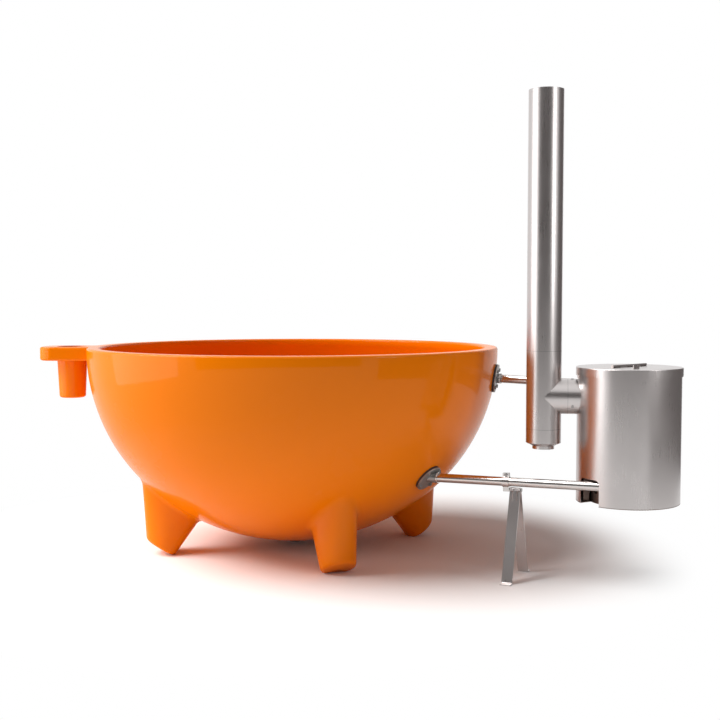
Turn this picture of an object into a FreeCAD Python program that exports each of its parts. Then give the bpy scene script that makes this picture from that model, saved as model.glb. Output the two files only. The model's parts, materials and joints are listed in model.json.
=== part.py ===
import FreeCAD, Part
import math
import os

# Wood-burning hot tub: a bowl on four cone feet with a coil stove beside it.
# Millimetres, +Z up, +X from the bowl towards the stove, standing on z = 0.
# Pieces are drawn about the bowl's axis and moved to the middle of the footprint at the end.

Vec = FreeCAD.Vector
UP = Vec(0, 0, 1)
AXIS_X = Vec(1, 0, 0)
ORIGIN = Vec(0, 0, 0)

# Shared clearances
overrun = 5.0
thread_gap = 0.15
slip_gap = 0.4
lift_gap = 0.5
pin_gap = 0.05
seat_gap = 0.3

# Bowl
rim_radius = 850.0
rim_height = 840.0
rim_width = 52.0
rim_round = 9.0
rim_depth = 36.0
rim_taper = 80.0
shell_wall = 10.0
ground_gap = 32.0

# Cone feet
foot_places = {
    "foot_stove_front": -44.0,
    "foot_stove_rear": 44.0,
    "foot_shelf_rear": 135.5,
    "foot_shelf_front": -135.5,
}
foot_inner = 507.0
foot_outer = 620.0
foot_width = 136.0
foot_top = 330.0
foot_top_inner = 256.0
foot_top_outer = 641.0
foot_top_width = 192.0
foot_contact = 530.0
foot_end_tilt = 32.0
foot_round = 12.0
foot_outline_points = 32
foot_drawn_bearing = 45.0

# Drinks shelf and cooler bucket
shelf_bearing = 205.0
shelf_overhang = 212.0
shelf_width = 190.0
shelf_thickness = 57.0
shelf_corner = 62.0
shelf_edge = 9.0
shelf_drop = 2.0
shelf_bolt_radius = 4.0
shelf_bolt_spacing = 110.0
shelf_bolt_depth = 28.0
shelf_bolt_bite = 40.0
shelf_bolt_head_radius = 7.5
shelf_bolt_head_height = 5.0
bucket_overhang = 88.0
bucket_top_radius = 64.0
bucket_end_radius = 54.0
bucket_depth = 215.0
bucket_wall = 3.0
bucket_lip_radius = 74.0
bucket_lip_height = 4.0
bucket_round = 10.0

# Drain in the bottom of the bowl
drain_bore = 20.0
drain_wall = 5.0
drain_flange_radius = 46.0
drain_flange_height = 5.0
drain_gasket_height = 5.0
drain_tail = 20.0
drain_nut_radius = 38.0
drain_nut_height = 9.0
plug_depth = 16.0
plug_flange_radius = 28.0
plug_flange_height = 4.0
plug_knob_radius = 9.0
plug_knob_height = 18.0

# Pipes and coil
pipe_radius = 16.85
pipe_wall = 2.0
lower_bearing = -12.5
lower_height = 352.0
upper_bearing = 13.0
upper_drop = 123.0
pipe_slope_share = 0.021
coil_casing_gap = 13.0
coil_whole_turns = 6
coil_blend_turns_share = 0.5

# Pipe fittings on the bowl
flange_radius = 57.0
flange_thickness = 5.0
gasket_thickness = 6.0
flange_edge = 1.2
collar_wall = 3.0
collar_height = 6.0
bolt_circle_radius = 47.0
bolt_radius = 4.0
bolt_head_radius = 7.5
bolt_head_height = 5.5
bolt_count = 4
nut_radius = 7.5
nut_height = 6.5
backing_thickness = 12.0
ring_wall = 4.0
ring_length = 5.0
ring_round = 1.5
guard_reach = 26.0
guard_wall = 2.5
guard_skirt = 18.0
guard_hole_radius = 3.0
guard_hole_circle = 8.5
guard_hole_count = 6

# Stove
stove_distance = 1399.0
casing_radius = 187.0
casing_wall = 1.5
casing_bottom = 297.0
casing_height = 490.0
notch_from = 20.0
notch_to = 50.5
notch_rise = 10.0
base_thickness = 2.5
base_tooth_count = 120
base_tooth_depth = 2.2
base_hole_radius = 6.0
base_hole_rings = ((60.0, 12), (92.0, 18), (120.0, 24))
basket_gap = 4.0
basket_wall = 1.5
basket_below_top = 45.0
basket_hole_radius = 9.0
basket_hole_columns = 8
basket_hole_rows = 5
basket_margin = 40.0
grate_height = 55.0
grate_thickness = 5.0
grate_gap = 3.0
grate_bar = 9.0
grate_slot = 11.0
grate_leg_radius = 7.0
grate_leg_circle = 100.0
grate_leg_count = 3
support_width = 22.0
support_thickness = 6.0
support_count = 3

# Lid
lid_radius = 191.5
lid_plate = 2.0
lid_lip = 31.0
lid_edge = 3.0
lid_fold_bearing = 65.0
lid_fold_gap = 0.8
hinge_length = 200.0
hinge_pin_radius = 2.5
hinge_knuckle_radius = 5.0
hinge_knuckle_count = 5
hinge_knuckle_gap = 0.6
tab_length = 34.0
tab_height = 13.0
tab_thickness = 2.0
tab_out = 76.0
tab_along = -61.0

# Flue
flue_reach = 308.0
flue_bearing = 196.0
flue_radius = 64.6
flue_wall = 1.5
flue_height = 677.0
tee_bottom = 557.0
tee_top = 846.0
collar_reach = 34.0
spigot_depth = 40.0
chimney_top = 1800.0
cap_skirt = 52.0
cap_chamfer = 12.0
spout_radius = 40.5
spout_length = 11.0
rivet_radius = 3.0
rivet_head_radius = 5.0
rivet_head_height = 2.0
rivet_bearings = (90.0, 210.0, 330.0)

# Stand under the lower pipe
stand_distance = 353.0
stand_spread = 101.0
leg_width = 40.0
leg_thickness = 4.0
leg_tab = 24.0
leg_bend = 6.0
leg_offset = 5.0
leg_slot_width = 3.5
leg_slot_length = 40.0
knuckle_radius = 8.0
knuckle_gap = 1.2
pivot_radius = 4.0
pivot_drop = 11.5
pivot_head_radius = 6.5
pivot_head_height = 3.0
clamp_width = 24.0
clamp_setback = 4.0
clamp_wall = 4.0
clamp_ear_width = 14.0
clamp_ear_height = 12.0
clamp_ear_gap = 3.0
clamp_bolt_radius = 3.0
clamp_bolt_head_radius = 5.5
clamp_bolt_head_height = 4.0

# Values worked out from the sizes above
wall_top = rim_height - rim_round
bowl_depth = wall_top - ground_gap
rim_inner = rim_radius - rim_width
casing_top = casing_bottom + casing_height
casing_inner = casing_radius - casing_wall
coil_radius = casing_inner - coil_casing_gap - pipe_radius
basket_radius = coil_radius - pipe_radius - basket_gap
stove_axis = Vec(stove_distance, 0, 0)
shelf_top = rim_height - shelf_drop
shelf_reach = rim_radius + shelf_overhang
bucket_reach = rim_radius + bucket_overhang
upper_height = rim_height - upper_drop


def bearing_vector(degrees):
    angle = math.radians(degrees)
    return Vec(math.cos(angle), math.sin(angle), 0)


def placed(shape, origin, axis):
    # Carries a shape drawn along +Z to an origin, with +Z turned to the axis.
    spot = shape.copy()
    spot.Placement = FreeCAD.Placement(origin, FreeCAD.Rotation(UP, axis)).multiply(shape.Placement)
    return spot


def outline(corners):
    # Closed face in the XZ plane; a third number on a corner is its rounding radius.
    count = len(corners)
    places = [Vec(corner[0], 0, corner[1]) for corner in corners]
    edges = []
    ends = []
    for index, corner in enumerate(corners):
        here = places[index]
        if len(corner) < 3:
            ends.append((here, here, None))
            continue
        back = (places[index - 1] - here).normalize()
        ahead = (places[(index + 1) % count] - here).normalize()
        half = back.getAngle(ahead) / 2
        run = corner[2] / math.tan(half)
        bisector = (back + ahead).normalize()
        middle = here + bisector * (corner[2] / math.sin(half) - corner[2])
        ends.append((here + back * run, here + ahead * run, middle))
    for index in range(count):
        start, end, middle = ends[index]
        if middle:
            edges.append(Part.Arc(start, middle, end).toShape())
        following = ends[(index + 1) % count][0]
        if end.distanceToPoint(following) > Part.Precision.confusion():
            edges.append(Part.LineSegment(end, following).toShape())
    return Part.Face(Part.Wire(edges))


def lathe(corners):
    return outline(corners).revolve(ORIGIN, UP, 360)


def plate(corners, height):
    # Outline read as plan (x, y), raised from z = 0.
    face = outline(corners)
    face.rotate(ORIGIN, AXIS_X, -90)
    return face.extrude(UP * height)


def rod(radius, start, end):
    span = end - start
    return Part.makeCylinder(radius, span.Length, start, span)


def tube(outer, inner, start, end):
    along = (end - start).normalize()
    bore = rod(inner, start - along * overrun, end + along * overrun)
    return rod(outer, start, end).cut(bore)


def hexagon(across_radius, height):
    places = [bearing_vector(60 * step) * across_radius for step in range(7)]
    return Part.Face(Part.makePolygon(places)).extrude(Vec(0, 0, height))


def group(shapes):
    return Part.makeCompound(shapes)


def bowl_curve(reach, depth):
    # Two tangent arcs from the pole (level) to the rim (upright), about the rim's centre.
    total = reach + depth
    spread = (math.sqrt(total ** 2 + 2 * (reach ** 2 + depth ** 2)) - total) / 2
    join = ((reach + spread) / 2, -(depth + spread) / 2)
    square = join[0] ** 2 + join[1] ** 2
    low_centre = (square - depth ** 2) / (2 * (depth + join[1]))
    high_centre = (reach ** 2 - square) / (2 * (reach - join[0]))
    return {"reach": reach, "depth": depth, "join": join, "low": low_centre, "high": high_centre}


def curve_point(curve, drop):
    # Radius and outward normal (radial, upward) at a drop below the rim's centre plane.
    if drop <= -curve["join"][1]:
        arc = curve["reach"] - curve["high"]
        side = math.sqrt(arc ** 2 - drop ** 2)
        return curve["high"] + side, side / arc, -drop / arc
    arc = curve["low"] + curve["depth"]
    rise = -drop - curve["low"]
    side = math.sqrt(arc ** 2 - rise ** 2)
    return side, side / arc, rise / arc


def curve_edges(curve, top_drop):
    # Edges of the curve from the pole up to a drop below the rim's centre plane.
    def spot(radius, drop):
        return Vec(radius, 0, wall_top - drop)

    low_arc = curve["low"] + curve["depth"]
    high_arc = curve["reach"] - curve["high"]
    turn = math.atan2(curve["join"][0], curve["low"] - curve["join"][1]) / 2
    low_middle = spot(low_arc * math.sin(turn), low_arc * math.cos(turn) - curve["low"])
    join = spot(curve["join"][0], -curve["join"][1])
    start_angle = math.asin(-curve["join"][1] / high_arc)
    end_angle = math.asin(top_drop / high_arc)
    middle_angle = (start_angle + end_angle) / 2
    high_middle = spot(curve["high"] + high_arc * math.cos(middle_angle), high_arc * math.sin(middle_angle))
    top = spot(curve_point(curve, top_drop)[0], top_drop)
    pole = spot(0, curve["depth"])
    return [Part.Arc(pole, low_middle, join).toShape(), Part.Arc(join, high_middle, top).toShape()], pole, top


def chain(points):
    pairs = zip(points[:-1], points[1:])
    return [Part.LineSegment(start, end).toShape() for start, end in pairs]


def spun(edges, sweep):
    return Part.Face(Part.Wire(Part.sortEdges(edges)[0])).revolve(ORIGIN, UP, sweep)


outer_curve = bowl_curve(rim_radius, bowl_depth)
inner_curve = bowl_curve(rim_radius - shell_wall, bowl_depth - shell_wall)


def make_bowl_block(sweep):
    # The space inside the bowl's outer face, square at the rim, from +X round by the sweep.
    edges, pole, top = curve_edges(outer_curve, 0)
    crown = rim_height + overrun
    return spun(edges + chain([top, Vec(rim_radius, 0, crown), Vec(0, 0, crown), pole]), sweep)


def make_cavity():
    # The space that the water fills, below the rim's underside.
    edges, pole, top = curve_edges(inner_curve, rim_taper)
    return spun(edges + chain([top, Vec(0, 0, top.z), pole]), 360)


def make_bowl():
    outer_edges, outer_pole, outer_top = curve_edges(outer_curve, 0)
    inner_edges, inner_pole, inner_top = curve_edges(inner_curve, rim_taper)
    slope = rim_round * (1 - math.sqrt(0.5))
    crest = Vec(rim_radius - rim_round, 0, rim_height)
    crest_inner = Vec(rim_inner + rim_round, 0, rim_height)
    brow = Vec(rim_inner, 0, rim_height - rim_round)
    outer_round = Part.Arc(outer_top, Vec(rim_radius - slope, 0, rim_height - slope), crest).toShape()
    inner_round = Part.Arc(crest_inner, Vec(rim_inner + slope, 0, rim_height - slope), brow).toShape()
    flats = chain([crest, crest_inner]) + chain([brow, Vec(rim_inner, 0, rim_height - rim_depth), inner_top])
    floor = chain([inner_pole, outer_pole])
    return spun(outer_edges + inner_edges + flats + floor + [outer_round, inner_round], 360)


def oval(inner, outer, width, height):
    # Points of a level oval between two reaches from the bowl's axis.
    middle = (inner + outer) / 2
    points = []
    for index in range(foot_outline_points):
        spot = bearing_vector(360 / foot_outline_points * index)
        points.append(Vec(middle + spot.x * (outer - inner) / 2, spot.y * width / 2, height))
    return points


def loop(points):
    curve = Part.BSplineCurve()
    curve.interpolate(Points=points, PeriodicFlag=True, Parameters=list(range(len(points) + 1)))
    return Part.Wire(curve.toShape())


def make_foot(ground):
    # One foot at its drawn bearing: oval above, tilted rounded end below, trimmed by bowl and ground.
    low = oval(foot_inner, foot_outer, foot_width, 0)
    high = oval(foot_top_inner, foot_top_outer, foot_top_width, foot_top)
    tilt = math.radians(foot_end_tilt)
    inward = Vec(-math.sin(tilt), 0, math.cos(tilt))
    heel = Vec(foot_contact, 0, 0)
    wires = []
    for turn in (0, 30, 60, 90):
        depth = foot_round * (1 - math.sin(math.radians(turn)))
        inset = foot_round * (1 - math.cos(math.radians(turn)))
        points = []
        for start, finish in zip(low, high):
            run = finish - start
            points.append(start + run * ((depth - inward.dot(start - heel)) / inward.dot(run)))
        middle = sum(points, Vec(0, 0, 0)) / len(points)
        wires.insert(0, loop([spot + (middle - spot).normalize() * inset for spot in points]))
    solid = Part.makeLoft(wires + [loop(high)], True, True)
    solid.rotate(ORIGIN, UP, foot_drawn_bearing)
    return solid.cut(ground).cut(make_bowl_block(2 * foot_drawn_bearing))


def shelf_spot(reach, side, height):
    out = bearing_vector(shelf_bearing)
    return out * reach + UP.cross(out) * side + UP * height


def make_shelf(bowl_block):
    half = shelf_width / 2
    root = rim_inner
    corners = [(root, -half), (shelf_reach, -half, shelf_corner), (shelf_reach, half, shelf_corner), (root, half)]
    slab = plate(corners, shelf_thickness)
    brink = [edge for edge in slab.Edges if edge.BoundBox.ZLength < overrun and edge.BoundBox.XMax > root + overrun]
    slab = slab.makeFillet(shelf_edge, brink)
    slab.translate(UP * (shelf_top - shelf_thickness))
    slab.rotate(ORIGIN, UP, shelf_bearing)
    hole = bucket_top_radius + lift_gap
    seat = bucket_lip_radius + lift_gap
    bottom = shelf_top - shelf_thickness
    slab = slab.cut(bowl_block)
    slab = slab.cut(rod(hole, shelf_spot(bucket_reach, 0, bottom - overrun), shelf_spot(bucket_reach, 0, rim_height)))
    seat_low = shelf_spot(bucket_reach, 0, shelf_top - bucket_lip_height)
    return slab.cut(rod(seat, seat_low, shelf_spot(bucket_reach, 0, rim_height)))


def make_bucket():
    low = -bucket_depth
    corners = [
        (0, low),
        (bucket_end_radius, low, bucket_round),
        (bucket_top_radius, -bucket_lip_height),
        (bucket_lip_radius, -bucket_lip_height),
        (bucket_lip_radius, 0),
        (bucket_top_radius - bucket_wall, 0),
        (bucket_end_radius - bucket_wall, low + bucket_wall, bucket_round - bucket_wall),
        (0, low + bucket_wall),
    ]
    return placed(lathe(corners), shelf_spot(bucket_reach, 0, shelf_top), UP)


def shelf_bolt_parts():
    bolts = []
    bores = []
    height = shelf_top - shelf_bolt_depth
    out = bearing_vector(shelf_bearing)
    for side in (-shelf_bolt_spacing / 2, shelf_bolt_spacing / 2):
        edge = abs(side) + shelf_bolt_head_radius
        face = shelf_spot(math.sqrt(rim_inner ** 2 - edge ** 2), side, height)
        tip = shelf_spot(rim_radius + shelf_bolt_bite, side, height)
        shank = rod(shelf_bolt_radius, face, tip)
        head = rod(shelf_bolt_head_radius, face - out * shelf_bolt_head_height, face)
        bolts.append(head.fuse(shank).removeSplitter())
        bores.append(rod(shelf_bolt_radius + thread_gap, face - out * overrun, tip + out * thread_gap))
    return group(bolts), group(bores)


def make_drain(bowl_block, cavity):
    sleeve = drain_bore + drain_wall
    floor = ground_gap + shell_wall
    gasket_top = floor + drain_gasket_height
    gasket = tube(drain_flange_radius, sleeve + thread_gap, UP * ground_gap, UP * gasket_top).common(cavity)
    body = lathe([
        (drain_bore, ground_gap - drain_tail),
        (sleeve, ground_gap - drain_tail),
        (sleeve, gasket_top),
        (drain_flange_radius, gasket_top),
        (drain_flange_radius, gasket_top + drain_flange_height),
        (drain_bore, gasket_top + drain_flange_height),
    ])
    nut = hexagon(drain_nut_radius, drain_nut_height + overrun)
    nut.translate(UP * (ground_gap - drain_nut_height))
    bore = rod(sleeve + thread_gap, ORIGIN, UP * rim_height)
    nut = nut.cut(bore).cut(bowl_block)
    seat = gasket_top + drain_flange_height + seat_gap
    plug = lathe([
        (0, seat - plug_depth),
        (drain_bore - slip_gap, seat - plug_depth),
        (drain_bore - slip_gap, seat),
        (plug_flange_radius, seat),
        (plug_flange_radius, seat + plug_flange_height),
        (plug_knob_radius, seat + plug_flange_height),
        (plug_knob_radius, seat + plug_flange_height + plug_knob_height),
        (0, seat + plug_flange_height + plug_knob_height),
    ])
    return {"drain_gasket": gasket, "drain_body": body, "drain_lock_nut": nut, "drain_plug": plug}, bore


def wall_spot(bearing, height):
    # Point on the bowl's outer face and the outward normal there.
    radius, outward, upward = curve_point(outer_curve, wall_top - height)
    out = bearing_vector(bearing)
    return out * radius + UP * height, out * outward + UP * upward


def pipe_run(point, side):
    # Level heading and length of a line from a wall point to the coil, touching it on one side.
    gap = stove_axis - Vec(point.x, point.y, 0)
    heading = math.atan2(gap.y, gap.x) + side * math.asin(coil_radius / gap.Length)
    return heading, math.sqrt(gap.Length ** 2 - coil_radius ** 2)


lower_point, lower_normal = wall_spot(lower_bearing, lower_height)
upper_point, upper_normal = wall_spot(upper_bearing, upper_height)
lower_heading, lower_run = pipe_run(lower_point, -1)
upper_heading, upper_run = pipe_run(upper_point, 1)
coil_turn = math.pi + upper_heading - lower_heading + 2 * math.pi * coil_whole_turns
coil_blend = 2 * math.pi * coil_blend_turns_share
coil_start_angle = lower_heading - math.pi / 2
coil_start_height = lower_height + pipe_slope_share * lower_run
coil_end_height = upper_height - pipe_slope_share * upper_run
coil_rise_share = (coil_end_height - coil_start_height) / coil_radius - pipe_slope_share * coil_turn
coil_slope_gain = coil_rise_share / (coil_turn - coil_blend)


def coil_spot(turned):
    # The pipes' slope at both ends and the coil's steeper one between, blended over part of a turn.
    angle = coil_start_angle + turned
    left = coil_turn - turned
    gained = turned - coil_blend / 2
    if turned < coil_blend:
        gained = turned ** 2 / (2 * coil_blend)
    elif left < coil_blend:
        gained = coil_turn - coil_blend - left ** 2 / (2 * coil_blend)
    height = coil_start_height + coil_radius * (pipe_slope_share * turned + coil_slope_gain * gained)
    return stove_axis + Vec(math.cos(angle), math.sin(angle), 0) * coil_radius + UP * height


def coil_heading(turned):
    angle = coil_start_angle + turned
    ramp = min(turned, coil_turn - turned, coil_blend) / coil_blend
    return Vec(-math.sin(angle), math.cos(angle), pipe_slope_share + coil_slope_gain * ramp).normalize()


lower_axis = coil_heading(0)
upper_axis = coil_heading(coil_turn) * -1


def arc_between(start, heading, end):
    # Arc that leaves the start along the heading and reaches the end.
    chord = end - start
    bend = heading.getAngle(chord)
    rise = chord.Length / 2 * math.tan(bend / 2)
    across = (heading - chord * (heading.dot(chord) / chord.dot(chord))).normalize()
    return Part.Arc(start, start + chord / 2 + across * rise, end).toShape()


def biarc(start, start_heading, end, end_heading):
    gap = end - start
    both = start_heading + end_heading
    turn = 2 * (1 - start_heading.dot(end_heading))
    reach = (math.sqrt(gap.dot(both) ** 2 + turn * gap.dot(gap)) - gap.dot(both)) / turn
    join = (start + end + (start_heading - end_heading) * reach) / 2
    first = arc_between(start, start_heading, join)
    second = arc_between(end, end_heading * -1, join)
    return [first, second]


def make_coil():
    steps = math.ceil(coil_turn / (math.pi / 2))
    step = coil_turn / steps
    straight = pipe_radius * 2
    begin = coil_spot(0) - coil_heading(0) * straight
    finish = coil_spot(coil_turn) + coil_heading(coil_turn) * straight
    edges = [Part.LineSegment(begin, coil_spot(0)).toShape()]
    for index in range(steps):
        near = index * step
        far = near + step
        edges += biarc(coil_spot(near), coil_heading(near), coil_spot(far), coil_heading(far))
    edges.append(Part.LineSegment(coil_spot(coil_turn), finish).toShape())
    path = Part.Wire(edges)
    shells = []
    for radius in (pipe_radius, pipe_radius - pipe_wall):
        ring = Part.Wire(Part.Circle(begin, coil_heading(0), radius).toShape())
        shells.append(path.makePipeShell([ring], True, False))
    coil = shells[0].cut(shells[1])
    section = math.pi * (pipe_radius ** 2 - (pipe_radius - pipe_wall) ** 2)
    print("coil volume over section times length", round(coil.Volume / (section * path.Length), 4))
    return coil, begin, finish


def coil_gap():
    # Least gap between the coil's turns, on points along its middle line.
    per_turn = 48
    count = int(coil_turn / (2 * math.pi) * per_turn)
    spots = [coil_spot(2 * math.pi * index / per_turn) for index in range(count)]
    least = min(
        spots[near].distanceToPoint(spots[far])
        for near in range(count)
        for far in range(near + per_turn // 2, count)
    )
    return least - 2 * pipe_radius


def make_fitting(point, normal, axis, bowl_block, cavity):
    # Gasket, flange, bolts, backing ring, nuts, clamping ring, guard and the hole in the bowl.
    across = UP.cross(normal).normalize()
    along = normal.cross(across)
    slant = axis.dot(normal)
    face = point + normal * gasket_thickness
    front = face + normal * flange_thickness
    back = point - normal * (shell_wall + backing_thickness)
    deep = pipe_radius * 4
    passage = rod(pipe_radius + slip_gap, point - axis * deep * 2, point + axis * deep * 2)
    holes = []
    bolts = []
    nuts = []
    for index in range(bolt_count):
        angle = 2 * math.pi * (index + 0.5) / bolt_count
        offset = across * math.cos(angle) * bolt_circle_radius + along * math.sin(angle) * bolt_circle_radius
        head_seat = front + offset
        nut_seat = back + offset
        tip = nut_seat - normal * (nut_height + bolt_radius)
        head = placed(hexagon(bolt_head_radius, bolt_head_height), head_seat, normal)
        bolts.append(head.fuse(rod(bolt_radius, tip, head_seat)).removeSplitter())
        bore = rod(bolt_radius + thread_gap, tip - normal * overrun, head_seat)
        holes.append(bore)
        nut = placed(hexagon(nut_radius, nut_height), nut_seat - normal * nut_height, normal)
        nuts.append(nut.cut(bore))
    opening = group(holes + [passage])
    gasket = rod(flange_radius, back, face).cut(bowl_block).cut(opening)
    disc = lathe([
        (0, 0),
        (flange_radius, 0),
        (flange_radius, flange_thickness, flange_edge),
        (0, flange_thickness),
    ])
    disc = placed(disc, face, normal)
    collar_start = point + axis * ((gasket_thickness + flange_thickness) / slant)
    collar_radius = pipe_radius + collar_wall
    lean = math.tan(math.acos(slant))
    collar_end = collar_start + axis * (collar_height + (pipe_radius + ring_wall) * lean)
    behind = rod(flange_radius * 2, point - normal * flange_radius * 2, face)
    collar = rod(collar_radius, collar_start - axis * collar_radius * 2, collar_end).cut(behind)
    flange = disc.fuse(collar).removeSplitter().cut(opening)
    backing = rod(flange_radius, back, point).common(cavity).cut(opening)
    ring = lathe([
        (pipe_radius + thread_gap, 0),
        (pipe_radius + ring_wall, 0, ring_round),
        (pipe_radius + ring_wall, ring_length, ring_round),
        (pipe_radius + thread_gap, ring_length),
    ])
    ring = placed(ring, collar_end, axis)
    inside = (shell_wall + backing_thickness) / slant + flange_radius * lean + guard_reach
    pipe_end = point - axis * inside
    cup = lathe([
        (0, 0),
        (pipe_radius + thread_gap, 0),
        (pipe_radius + thread_gap, -guard_skirt),
        (pipe_radius + guard_wall, -guard_skirt),
        (pipe_radius + guard_wall, guard_wall, guard_wall / 2),
        (0, guard_wall),
    ])
    ports = [Part.makeCylinder(guard_hole_radius, guard_wall * 3, UP * -guard_wall)]
    for index in range(guard_hole_count):
        spot = bearing_vector(360 / guard_hole_count * index) * guard_hole_circle
        ports.append(Part.makeCylinder(guard_hole_radius, guard_wall * 3, spot - UP * guard_wall))
    guard = placed(cup.cut(group(ports)), pipe_end, axis * -1)
    pieces = {
        "gasket": gasket,
        "flange": flange,
        "flange_bolts": group(bolts),
        "backing_ring": backing,
        "flange_nuts": group(nuts),
        "clamping_ring": ring,
        "inner_guard": guard,
    }
    return pieces, opening, pipe_end


def stove_spot(radius, bearing, height):
    return stove_axis + bearing_vector(bearing) * radius + UP * height


def pipe_window(middle_bearing, low, high, corner_low):
    # Rounded window through one side of the casing, for a pipe that enters at a slant.
    half = casing_radius * math.sin(math.radians(notch_to - notch_from) / 2)
    top = [(half, high, pipe_radius), (-half, high, pipe_radius)]
    bottom = [(-half, low, pipe_radius), (half, low, pipe_radius)] if corner_low else [(-half, low), (half, low)]
    window = outline(top + bottom).extrude(Vec(0, -casing_radius - overrun, 0))
    window.rotate(ORIGIN, UP, middle_bearing + 90)
    window.translate(stove_axis)
    return window


def lower_window():
    middle = math.degrees(coil_start_angle) - (notch_from + notch_to) / 2
    high = coil_start_height + pipe_radius + notch_rise / 2
    return pipe_window(middle, casing_bottom - base_thickness - overrun, high, False)


def make_casing():
    body = tube(casing_radius, casing_inner, stove_axis + UP * casing_bottom, stove_axis + UP * casing_top)
    middle = math.degrees(upper_heading) + 90 + (notch_from + notch_to) / 2
    reach = pipe_radius + notch_rise / 2
    body = body.cut(lower_window())
    body = body.cut(pipe_window(middle, coil_end_height - reach, coil_end_height + reach, True))
    flue_start = stove_axis + UP * flue_height
    return body.cut(rod(flue_radius - flue_wall, flue_start, stove_spot(casing_radius * 2, flue_bearing, flue_height)))


def ring_of(radius, count, hole_radius):
    step = 360 / count
    return [Part.Wire(Part.Circle(bearing_vector(step * k) * radius, UP, hole_radius).toShape()) for k in range(count)]


def make_base():
    # Perforated plate whose cut holes leave a toothed edge under the casing.
    step = 360 / base_tooth_count
    edges = []
    for index in range(base_tooth_count):
        start = step * index
        places = [bearing_vector(start + step * part / 4) * casing_radius for part in range(5)]
        dip = bearing_vector(start + step * 3 / 4) * (casing_radius - base_tooth_depth)
        edges.append(Part.Arc(places[0], places[1], places[2]).toShape())
        edges.append(Part.Arc(places[2], dip, places[4]).toShape())
    wires = [Part.Wire(edges)]
    for radius, count in base_hole_rings:
        wires += ring_of(radius, count, base_hole_radius)
    base = Part.Face(wires, "Part::FaceMakerBullseye").extrude(UP * base_thickness)
    base.translate(stove_axis + UP * (casing_bottom - base_thickness))
    keep = rod(basket_radius + basket_gap, stove_axis, stove_axis + UP * casing_top)
    return base.cut(lower_window().cut(keep))


def make_basket():
    top = casing_top - basket_below_top
    basket = tube(basket_radius, basket_radius - basket_wall, UP * casing_bottom, UP * top)
    rise = (top - casing_bottom - 2 * basket_margin) / (basket_hole_rows - 1)
    bars = []
    for row in range(basket_hole_rows):
        level = UP * (casing_bottom + basket_margin + rise * row)
        for column in range(basket_hole_columns):
            bearing = 180 / basket_hole_columns * (column + row % 2 / 2)
            out = bearing_vector(bearing) * basket_radius * 2
            bars.append(rod(basket_hole_radius, level - out, level + out))
    basket = basket.cut(bars)
    basket.translate(stove_axis)
    return basket


def make_grate():
    radius = basket_radius - basket_wall - grate_gap
    disc = Part.makeCylinder(radius, grate_thickness, UP * (grate_height - grate_thickness))
    pitch = grate_bar + grate_slot
    slots = []
    lanes = int((radius - grate_bar - grate_slot) / pitch)
    for lane in range(-lanes, lanes + 1):
        side = lane * pitch
        reach = math.sqrt((radius - grate_bar) ** 2 - (abs(side) + grate_slot / 2) ** 2)
        slots.append(Part.makeBox(reach * 2, grate_slot, grate_height, Vec(-reach, side - grate_slot / 2, 0)))
    disc = disc.cut(slots)
    for index in range(grate_leg_count):
        spot = bearing_vector(360 / grate_leg_count * index) * grate_leg_circle
        disc = disc.fuse(Part.makeCylinder(grate_leg_radius, grate_height - grate_thickness / 2, spot))
    disc.translate(stove_axis + UP * casing_bottom)
    return disc


def make_supports():
    posts = []
    for index in range(support_count):
        turned = 2 * math.pi * (index + 0.5) / support_count
        spot = coil_spot(turned)
        level = spot.z - pipe_radius - seat_gap
        post = Part.makeBox(support_width, support_thickness, level - casing_bottom)
        post.translate(Vec(coil_radius - support_width / 2, -support_thickness / 2, casing_bottom))
        post.rotate(ORIGIN, UP, math.degrees(coil_start_angle + turned))
        post.translate(stove_axis)
        posts.append(post)
    return group(posts)


flue_out = bearing_vector(flue_bearing)
flue_axis = stove_axis + flue_out * flue_reach
flue_inner = flue_radius - flue_wall
seam_reach = casing_radius + collar_reach


def make_flue_collar():
    # Collar welded to the casing, with a spigot inside the tee's branch.
    level = UP * flue_height
    start = stove_axis + level
    seam = start + flue_out * seam_reach
    spigot = start + flue_out * (seam_reach + spigot_depth)
    slim = flue_inner - slip_gap
    collar = rod(flue_radius, start, seam).fuse(rod(slim, start, spigot))
    collar = collar.cut(rod(slim - flue_wall, start, spigot + flue_out * overrun))
    return collar.cut(rod(casing_radius, stove_axis + UP * casing_bottom, stove_axis + UP * casing_top))


def make_rivets():
    rivets = []
    middle = stove_axis + UP * flue_height + flue_out * (seam_reach - collar_reach / 2)
    side = UP.cross(flue_out)
    for bearing in rivet_bearings:
        angle = math.radians(bearing)
        out = side * math.cos(angle) + UP * math.sin(angle)
        seat = middle + out * flue_radius
        head = rod(rivet_head_radius, seat, seat + out * rivet_head_height)
        shank = rod(rivet_radius, seat - out * flue_wall, seat)
        rivets.append(head.fuse(shank).removeSplitter())
    return group(rivets)


def make_tee():
    level = UP * flue_height
    low = flue_axis + UP * tee_bottom
    high = flue_axis + UP * tee_top
    seam = stove_axis + level + flue_out * seam_reach
    shell = rod(flue_radius, low, high).fuse(rod(flue_radius, flue_axis + level, seam))
    hollow = rod(flue_inner, low - UP * overrun, high + UP * overrun)
    hollow = hollow.fuse(rod(flue_inner, flue_axis + level, seam - flue_out * overrun))
    return shell.cut(hollow)


def make_cap():
    skirt_low = tee_bottom - cap_skirt
    foot = skirt_low - cap_chamfer
    sleeve = flue_inner - slip_gap
    cap = lathe([
        (sleeve, tee_bottom + spigot_depth),
        (sleeve, tee_bottom),
        (flue_radius, tee_bottom),
        (flue_radius, skirt_low),
        (spout_radius, foot),
        (spout_radius, foot - spout_length),
        (spout_radius - flue_wall, foot - spout_length),
        (spout_radius - flue_wall, foot + flue_wall),
        (sleeve - flue_wall, skirt_low + flue_wall),
        (sleeve - flue_wall, tee_bottom + spigot_depth),
    ])
    cap.translate(flue_axis)
    return cap


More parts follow.
